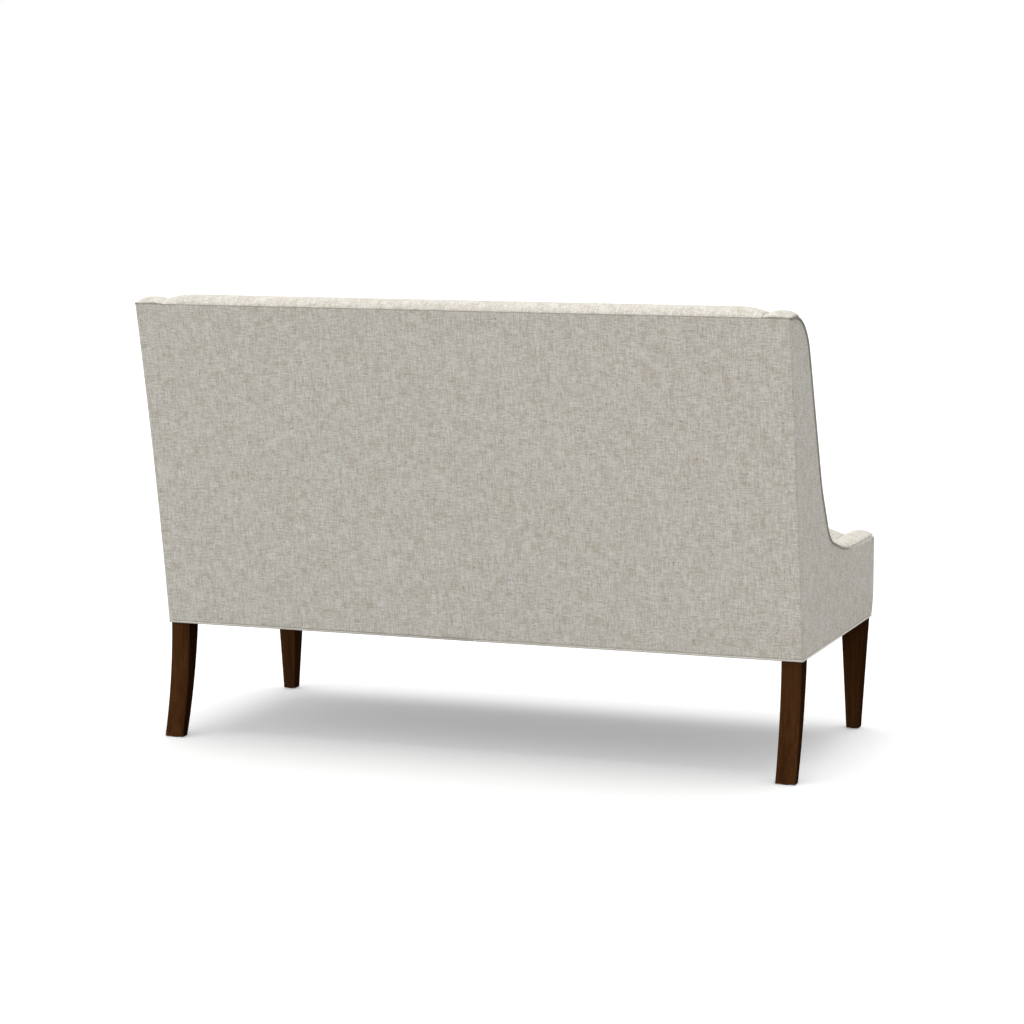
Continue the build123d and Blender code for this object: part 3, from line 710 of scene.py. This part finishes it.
side_top, side_out = swoop(float(back_y(back_height, behind)), front_y, 500)
side_top = side_top - side_out * (cord_radius(side_top[:, :1]) + soft_gap)
side_heights = np.linspace(panel_bottom, side_top[0, 1], 200)
side_rear = np.stack([back_y(side_heights, behind), side_heights], -1)
side_front = np.array([(front_y, panel_bottom), (front_y, side_top[-1, 1])])
side_low = np.array([(side_rear[0, 0], panel_bottom), (front_y, panel_bottom)])
arm_grid = stretched(
    side_low, side_top, side_rear, side_front, graded(110, length=0.8), graded(60, length=0.4),
)
arm_drop = turned_edges(arm_grid, arm_turns)
towards_front = fade(-arm_grid[..., 0], 0, full_from_front)
above_hem = fade(arm_grid[..., 1] - panel_bottom, 0, full_above_hem)
fuller = arm_fullness * smooth_step(towards_front) * above_hem * (2 - above_hem)
for side, word in both_sides:
    outer = np.concatenate([side * (half_width - arm_drop + fuller)[..., None], arm_grid], -1)
    inner = np.concatenate([np.full_like(arm_drop, side * frame_half)[..., None], arm_grid], -1)
    slab(f"outside_arm_cover_{word}", outer, inner, arm_grid, "linen", [f"outside_arm_panel_{word}"])

# %% [markdown]
# The front border is the strip under the seat's nose. It swells a little between its two edges,
# most of all below the middle.

# %% Front border
border_turns = (hem_turn, 0.0025, 0.0035, 0.0035)
border_fullness, border_low_swell = 0.0025, 0.7
border_half = frame_half - board_gap
border_x = border_half * (2 * graded(120, length=2 * border_half) - 1)
border_z = panel_bottom + graded(16, length=0.176) * (foam_top - panel_bottom)
border = np.stack(np.meshgrid(border_x, border_z), -1)
border_drop = turned_edges(border, border_turns)
border_rise = (border[..., 1] - panel_bottom) / (foam_top - panel_bottom)
border_full = border_fullness * np.sin(pi * border_rise**border_low_swell)
border_front = np.stack([border[..., 0], front_y + border_drop - border_full, border[..., 1]], -1)
border_back = np.stack([border[..., 0], np.full_like(border_drop, frame_front), border[..., 1]], -1)
slab("front_border_cover", border_front, border_back, border, "linen", ["front_border"])

# %% [markdown]
# ## Piping
#
# Piping is a cord in a bias strip of the same linen, caught in the seam. It runs right round the
# bottom of the body, along both swoops and along the front of the seat. A bevelled curve would do,
# but a circle carried along the seam also gets the cloth map and can grow thinner on the way. Each
# seam lies in one plane, so the plane's direction and the seam's outward one are enough for it.

# %% Piping along the swoops
def piping(name, line, out, flat_way, radius, replaced, cord_shade_gap=unsewn, sides=14):
    """A circle along a line [point, xyz], of one radius or one for each point.

    `out` and `flat_way` span the circle's plane; the last argument is a distance from the seam that sets
    the painted shade of each point: the smaller, the greyer the cord."""
    turn = np.linspace(0, 2 * pi, sides, endpoint=False)[None, :, None]
    radius = np.broadcast_to(radius, len(line))
    circle = np.cos(turn) * out[:, None] + np.sin(turn) * flat_way
    rings = line[:, None] + radius[:, None, None] * circle
    around = np.linspace(0, 2 * pi * radius.max(), sides + 1)
    cloth = np.stack(np.meshgrid(distances(line), around, indexing="ij"), -1)
    return tube(name, rings, cloth, np.broadcast_to(cord_shade_gap, len(line))[:, None], "piping", replaced)


x_way, y_way, z_way = np.eye(3)
roll_start = 0.004
tip_length, tip_share = 0.008, 0.3
# Painted shade: the swoop piping is greyed along the steep wing, as if in shade, and left pale along the
# level arm.
wing_cord_shade, arm_shade_ease, cord_shade_run = 0.0007, 0.0025, (-0.13, -0.22)
welt_stop, welt_points = 0.002, 260
arm_welt_x = half_width + arm_welt_proud - arm_welt_radius
roll_rear = float(back_y(back_height - roll_start, panel_thickness + soft_gap))
welt_line, welt_out = swoop(roll_rear, front_y + welt_stop, welt_points)
tip = np.clip((welt_line[:, 0] - front_y) / tip_length, tip_share, 1)
cord_shade_gap = wing_cord_shade + fade(welt_line[:, 0], *cord_shade_run) * arm_shade_ease
for side, word in both_sides:
    line = np.column_stack([np.full(len(welt_line), side * arm_welt_x), welt_line])
    out = np.column_stack([np.zeros(len(welt_out)), welt_out])
    radius = cord_radius(welt_line[:, 0]) * tip
    piping(f"arm_piping_{word}", line, out, x_way, radius, [f"arm_welt_{word}"], cord_shade_gap)

# %% [markdown]
# The seat's piping is straight. The bottom one goes right round on small corners, and its ends meet
# at the middle of the rear.

# %% Piping along the seat and round the bottom
seat_points = 80
seat_line = np.column_stack([
    np.linspace(-roll_outer, roll_outer, seat_points),
    np.full(seat_points, front_y + seat_welt_radius - welt_proud),
    np.full(seat_points, welt_base + seat_welt_radius),
])
piping("seat_piping", seat_line, np.tile(z_way, (seat_points, 1)), y_way, seat_welt_radius, ["seat_welt"])

corner_turn = 0.0035
welt_inset = bottom_welt_radius - welt_proud
welt_half = half_width - welt_inset
welt_front, welt_rear = front_y + welt_inset, rear_y - welt_inset
loop = rounded(
    [(0, welt_rear), (-welt_half, welt_rear), (-welt_half, welt_front), (welt_half, welt_front),
     (welt_half, welt_rear), (0, welt_rear)],
    [corner_turn] * 4, arc_points=8,
)
turns = unit(np.gradient(loop, axis=0))
loop_out = np.column_stack([-turns[:, 1], turns[:, 0], np.zeros(len(loop))])
loop_line = np.column_stack([loop, np.full(len(loop), body_bottom + bottom_welt_radius)])
piping("bottom_piping", loop_line, loop_out, z_way, bottom_welt_radius, ["bottom_welt"])

# %% [markdown]
# ## Pads
#
# The inside back and the seat are foam under a tight cover. In section each is a free curve: the
# back rises from its seam behind the top rail, rolls over a crest and falls to the seat; the seat
# swells to a crown and rolls over its front edge. Towards the wings the cover is drawn down into
# a crease, so each pad has two sections, a full one and a drawn one, and every station across the
# pad is a blend of the two. A rounded box would have no crest and no crease.

# %% Pad sections
pad_half = wing_inner - soft_gap
# How much less painted shade the creases at the pad's ends get than the seam.
crease_shade_ease = 0.0018


def ends_drawn(half, rounding, count):
    """Stations across a pad, and how full each is: 1 in the middle, falling to 0 in the crease.

    Fullness is 1 less the square of how far a station has gone into the rounding."""
    turn = np.linspace(0, pi / 2, 12)
    edge = half - rounding * (1 - np.cos(turn))
    middle = np.linspace(-edge[-1], edge[-1], count)
    x = np.concatenate([-edge, middle[1:-1], edge[::-1]])
    return x, 1 - (1 - fade(half - np.abs(x), 0, rounding)) ** 2


def pad(name, full, drawn, x, fullness, sewn_at, replaced):
    """Blend the full and the drawn section [place, (y, z)] at every station.

    `sewn_at` is the number of the ring's point that lies in a seam."""
    section = fullness[:, None, None] * full + (1 - fullness[:, None, None]) * drawn
    rings = np.concatenate([np.broadcast_to(x[:, None, None], section.shape[:2] + (1,)), section], -1)
    around = distances(np.concatenate([full, full[:1]]))
    cloth = np.stack(np.meshgrid(x, around, indexing="ij"), -1)
    # Painted shade: the cover is darkened beside its seam and in the creases at the pad's ends.
    from_seam = np.abs(around[:-1] - around[sewn_at])[None]
    from_crease = (pad_half - np.abs(x))[:, None] + crease_shade_ease
    return tube(name, rings, cloth, np.minimum(from_seam, from_crease), "linen", replaced)


def joined(*lines):
    """Lines one after another as one ring, without the points they share."""
    return np.concatenate([np.asarray(line)[:-1] for line in lines])


def back_at(z, inset):
    """The (Y, Z) point at height z, `inset` in front of the outside back."""
    return float(back_y(z, inset)), z


pad_x, pad_fullness = ends_drawn(pad_half, rounding=0.060, count=120)
print("pad stations:", len(pad_x))

# %% [markdown]
# The back pad's ring goes up its hidden rear, hooks back over the rail to the seam, and comes over
# the crest and down the face.

# %% Back pad
face_points = 96
hook_low, hook_rear, pad_low = post_top + soft_gap, panel_thickness + soft_gap, deck_top + soft_gap
top_edge = back_at(back_height - 0.0006, hook_rear)
back_rest = even(
    [back_at(pad_low, pad_back)] + [back_at(z, pad_back) for z in np.linspace(0.5, hook_low, 12)], 26,
)
back_hook = even([back_at(hook_low, pad_back), back_at(hook_low, hook_rear), top_edge], 8)


def back_section(crest, belly, drawn):
    """The ring of the back: its rest on the frame, the hook, the face and the foot.

    `crest` is how high it rolls, `belly` how full it is and `drawn` how far it is pulled in."""
    face = free_curve(
        [
            top_edge,
            (rear_top_y - 0.016, back_height + 0.56 * crest),
            (rear_top_y - 0.052, back_height + crest),
            (rear_top_y - 0.094, back_height + 0.50 * crest - 0.002 - 0.3 * drawn),
            back_at(back_height - 0.040, pad_back + 0.057 - 0.7 * drawn),
            back_at(0.86, pad_back + 0.064 + 0.55 * belly - drawn),
            back_at(0.70, pad_front + belly - drawn),
            back_at(0.58, pad_front + 0.55 * belly - drawn),
            back_at(0.50, pad_front - drawn),
            back_at(pad_low, pad_front - 0.004 - drawn),
        ],
        face_points,
    )
    return joined(back_rest, back_hook, face, even([face[-1], back_rest[0]], 8))


full_back = back_section(crest=0.021, belly=0.008, drawn=0.0)
drawn_back = back_section(crest=0.010, belly=0.0, drawn=0.016)
top_seam = len(back_rest) + len(back_hook) - 2
back_pad = pad("inside_back", full_back, drawn_back, pad_x, pad_fullness, top_seam, ["back_pad"])

# %% [markdown]
# The seat's ring starts at its rear edge, crosses the crown, rolls over the nose to the seam above
# the piping, and goes back underneath.

# %% Seat pad
top_points = 90
seat_edge = arm_height + 0.004
seat_lip = arm_height + soft_gap
foam_front = frame_front + soft_gap
seat_behind = pad_front + soft_gap


def seat_section(crown, rear_rise, front_rise):
    """The ring of the seat, by how high its crown, its rear edge and its nose stand."""
    rear = back_at(seat_edge + rear_rise, seat_behind)
    nose = seat_edge + front_rise
    top = free_curve(
        [
            rear,
            (rear[0] - 0.12, seat_edge + 0.90 * crown + 0.10 * rear_rise),
            (-0.10, seat_edge + crown),
            (-0.26, seat_edge + 0.92 * crown + 0.08 * front_rise),
            (front_y + 0.046, nose),
            (front_y + 0.016, nose - 0.30 * (nose - seat_lip)),
            (nose_front, seat_lip + 0.28 * (nose - seat_lip)),
            (nose_front + 0.0025, seat_lip),
        ],
        top_points,
    )
    under = even([top[-1], (foam_front, seat_lip), (foam_front, pad_low)], 8)
    base = even([under[-1], back_at(pad_low, seat_behind)], 24)
    rear_wall = even([base[-1], back_at(welt_base, seat_behind), rear], 8)
    return joined(top, under, base, rear_wall)


full_seat = seat_section(crown=0.036, rear_rise=0.024, front_rise=0.026)
drawn_seat = seat_section(crown=0.002, rear_rise=0.0, front_rise=0.003)
front_seam = top_points - 1
seat_pad = pad(
    "seat", full_seat, drawn_seat, pad_x, pad_fullness, front_seam, ["seat_pad", "seat_foam"],
)

# %% [markdown]
# ## Wings and arms
#
# One piece of linen covers each wing: it starts under the piping, rolls over the padded edge,
# drops down the inside of the wing and goes out of sight behind the back and under the seat. Its
# section changes on the way, so it is carried along the swoop as a ring, and each change is a share
# from 0 to 1 along the line. Beside the back and beside the seat the roll ends in a shallow crease;
# along the free part of the wing its inner shoulder is rounder.

# %% Wing stations
wing_stations = 230
free_from, free_until = (0.13, 0.23), (0.36, 0.52)
arm_run, top_run = (0.40, 0.20), (0.13, 0.04)
front_round, rear_round = 0.007, 0.030

wing_line, wing_out = swoop(roll_rear, nose_front, wing_stations)
from_rear = distances(wing_line)
to_front = from_rear[-1] - from_rear
free_part = smooth_step(fade(from_rear, *free_from) * fade(to_front, *free_until))
on_arm = fade(to_front, *arm_run)
on_top = fade(from_rear, *top_run)
level = np.maximum(on_arm, on_top)
front_end = np.sqrt(1 - fade(to_front, front_round, 0) ** 2)
rear_end = 1 - fade(from_rear, rear_round, 0) ** 2
print("wing line:", round(float(from_rear[-1]), 3), "m")

# %% [markdown]
# The roll is given by two numbers at each share of its width: how far it stands out of the seam
# line, a sine bulge on a slope that ends in the crease, and how far it hangs over the piping, a
# squared sine close to the outer edge. Both fade to nothing at the two ends of the wing.

# %% Wing roll
roll_points = 28
crease_rise, free_fall, arm_fall = 0.006, 0.016, 0.003
roll_bulge, arm_less = 0.0135, 0.0005
level_overhang, top_overhang = 0.011, 0.005
free_peak, level_peak = 0.75, 0.20

share = 1 - np.cos(np.linspace(0, pi / 2, roll_points))
crease = (crease_rise - free_fall * free_part - arm_fall * on_arm)[:, None]
bulge = (roll_bulge - arm_less * on_arm)[:, None]
overhang = (level_overhang * level + top_overhang * on_top) * np.sqrt(front_end * rear_end)
peak = (free_peak + level_peak * level)[:, None]
roll_x = roll_outer - share * (roll_outer - wing_inner)
roll_x = roll_x + overhang[:, None] * np.sin(pi * share**0.4) ** 2
roll_n = (crease * share**2 + bulge * np.sin(pi * share**peak)) * (front_end * rear_end)[:, None]
roll_yz = wing_line[:, None] + wing_out[:, None] * roll_n[..., None]
print("roll stands out by up to", round(float(roll_n.max()) * 1000, 1), "mm")

# %% [markdown]
# From the roll the cloth falls to a hidden line behind the back and under the seat. The ring closes
# out of sight, up the plywood's inner face and over its edge to the piping. The shoulder where roll
# and fall meet is eased along the free part: each point moves towards the mean of its neighbours.

# %% Wing covers
hidden = even(
    [back_at(0.992, 0.075)] + [back_at(z, 0.095) for z in np.linspace(0.96, 0.43, 12)]
    + [(0.10, 0.430), (front_y + 0.03, 0.430), (nose_front, seat_lip)],
    wing_stations,
)
inner_fullness, under_piping, ply_gap, easing_rounds = 0.0035, 0.0037, 0.0015, 24
fall = np.linspace(0, 1, 18)[1:] ** 1.6
inner_yz = roll_yz[:, -1:] + (hidden[:, None] - roll_yz[:, -1:]) * fall[None, :, None]
inner_x = wing_inner - inner_fullness * free_part[:, None] * np.sin(pi * np.sqrt(fall))[None]
outer_base = wing_line[:, None] - wing_out[:, None] * under_piping
close_yz = np.concatenate([hidden[:, None], outer_base, outer_base], axis=1)
ply_x = ply_inner - ply_gap
close_x = np.broadcast_to(np.array([ply_x, ply_x, roll_outer]), (wing_stations, 3))

ring_x = np.concatenate([roll_x, inner_x, close_x], axis=1)
rings = np.concatenate([ring_x[..., None], np.concatenate([roll_yz, inner_yz, close_yz], axis=1)], -1)
shoulder = np.arange(roll_points - 9, roll_points + 5)
for _ in range(easing_rounds):
    eased = (rings[:, shoulder - 1] + 2 * rings[:, shoulder] + rings[:, shoulder + 1]) / 4
    rings[:, shoulder] += free_part[:, None, None] * (eased - rings[:, shoulder])
over_border = rings[..., 1] < foam_front
rings[..., 2] = np.where(over_border, np.maximum(rings[..., 2], seat_lip), rings[..., 2])

over_roll = np.hypot(np.diff(roll_x, axis=1), np.diff(roll_n, axis=1))
to_shoulder = np.cumsum(over_roll[:, ::-1], axis=1)[:, ::-1]
unrolled = np.concatenate([to_shoulder, np.zeros((wing_stations, 1))], axis=1)
cut_roll = roll_yz[:, -1:] + wing_out[:, None] * unrolled[..., None]
wing_cloth = np.concatenate([cut_roll, inner_yz, close_yz, cut_roll[:, :1]], axis=1)
# Painted shade: the roll is darkened beside the swoop piping, less along the level arm.
level_shade_ease = 0.003
wing_shade_gap = np.full(ring_x.shape, unsewn)
wing_shade_gap[:, :roll_points] = unrolled[:, :1] - unrolled + level_shade_ease * level[:, None]
wing_covers = [
    tube(
        f"wing_{word}", rings * np.array([side, 1, 1]), wing_cloth, wing_shade_gap,
        "linen", [f"wing_roll_{word}", f"inside_wing_pad_{word}"],
    )
    for side, word in both_sides
]

# %% [markdown]
# ## Dust cover
#
# A sheet of thin black cloth is stapled under the frame. It hangs a little between its staples and
# is cut away round the legs. A grid whose middle hangs lower than its edges is enough, as a slab of
# the cloth's own thickness: the sag is a parabola across and half a sine from front to back.

# %% Dust cover
dust_half, dust_front, dust_back = 0.752, frame_front + 0.006, 0.243
half_at_legs = 0.698
front_leg_end, rear_leg_end, cut = -0.332, 0.190, 0.0005
dust_level, dust_hang, dust_thickness = 0.2667, 0.0032, 0.0006
dust_rows = np.concatenate([
    np.linspace(dust_front, front_leg_end, 6),
    np.linspace(front_leg_end + cut, rear_leg_end - cut, 30),
    np.linspace(rear_leg_end, dust_back, 6),
])
between_legs = (dust_rows > front_leg_end + cut / 2) & (dust_rows < rear_leg_end - cut / 2)
row_half = np.where(between_legs, dust_half, half_at_legs)
dust_x = row_half[:, None] * np.linspace(-1, 1, 90)
dust_y = np.broadcast_to(dust_rows[:, None], dust_x.shape)
sag = (1 - (dust_x / dust_half) ** 2) * np.sin(pi * (dust_y - dust_front) / (dust_back - dust_front))
dust_top = np.stack([dust_x, dust_y, dust_level - dust_hang * sag], -1)
dust_under = dust_top - dust_thickness * z_way
dust_map = np.stack([dust_x, dust_y], -1)
dust = slab("dust_sheet", dust_top, dust_under, dust_map, "dust_cloth", ["dust_cover"])

# %% [markdown]
# ## Settling the cloth
#
# A drawn section is too perfect for upholstery. A short cloth simulation lets the seat and the back
# find their own tension: air pressure stands for the foam that pushes outwards, and everything out
# of sight is pinned, along with the creases. No point may move more than a few millimetres, so that
# the banquette keeps its size.

# %% Cloth simulation
def pin(piece, weight):
    """Hold a piece's points by weight, in tenths: 1 holds a point, 0 lets it go."""
    group = piece.vertex_groups.new(name="held")
    tenths = np.round(weight, 1)
    for tenth in np.unique(tenths):
        group.add(np.flatnonzero(tenths == tenth).tolist(), float(tenth), "REPLACE")


cloth_settings = {
    "quality": 6, "mass": 0.35, "tension_stiffness": 25, "compression_stiffness": 25,
    "bending_stiffness": 2.0, "use_pressure": True, "vertex_group_mass": "held", "pin_stiffness": 1.0,
}


def settle(pieces, pressure, most, frames=18):
    """Run the cloth for all the pieces together, then keep each piece's settled points.

    A point that moved further than `most` is brought back along its way to that distance."""
    for piece in pieces:
        cloth = piece.modifiers.new("settle", "CLOTH")
        for name, value in cloth_settings.items():
            setattr(cloth.settings, name, value)
        cloth.settings.uniform_pressure_force = pressure
        cloth.settings.effector_weights.gravity = 0
        cloth.collision_settings.use_collision = False
        cloth.collision_settings.use_self_collision = False
        cloth.point_cache.frame_start = 1
        cloth.point_cache.frame_end = frames
    for step in range(1, frames + 1):
        scene.frame_set(step)
    graph = bpy.context.evaluated_depsgraph_get()
    for piece in pieces:
        settled = piece.evaluated_get(graph).to_mesh()
        after = np.empty(3 * len(settled.vertices), np.float32)
        before = np.empty_like(after)
        settled.vertices.foreach_get("co", after)
        piece.data.vertices.foreach_get("co", before)
        move = (after - before).reshape(-1, 3)
        reach = np.linalg.norm(move, axis=1, keepdims=True)
        move *= np.minimum(1, most / np.maximum(reach, 1e-9))
        piece.modifiers.clear()
        piece.data.vertices.foreach_set("co", before + move.ravel())
        piece.data.update()
        print(piece.name, "pushed by up to", round(float(reach.max()) * 1000, 2), "mm")
    scene.frame_set(1)


held_edge, pin_ease = 0.05, 0.35
in_middle = fade(pad_half - np.abs(pad_x), 0, held_edge)
for piece, ring, start, count in (
    (back_pad, full_back, top_seam, face_points),
    (seat_pad, full_seat, 0, top_points),
):
    loose = np.zeros(len(ring))
    loose[start:start + count] = np.sin(np.linspace(0, pi, count)) ** pin_ease
    pin(piece, (1 - in_middle[:, None] * loose[None]).ravel())
settle([back_pad, seat_pad], pressure=1.2, most=0.006)

for piece, fill in ((back_pad, 0.85), (seat_pad, 0.85), (wing_covers[0], 0.9), (wing_covers[1], 0.9)):
    smooth = piece.modifiers.new("smooth", "SUBSURF")
    smooth.levels = smooth.render_levels = 1
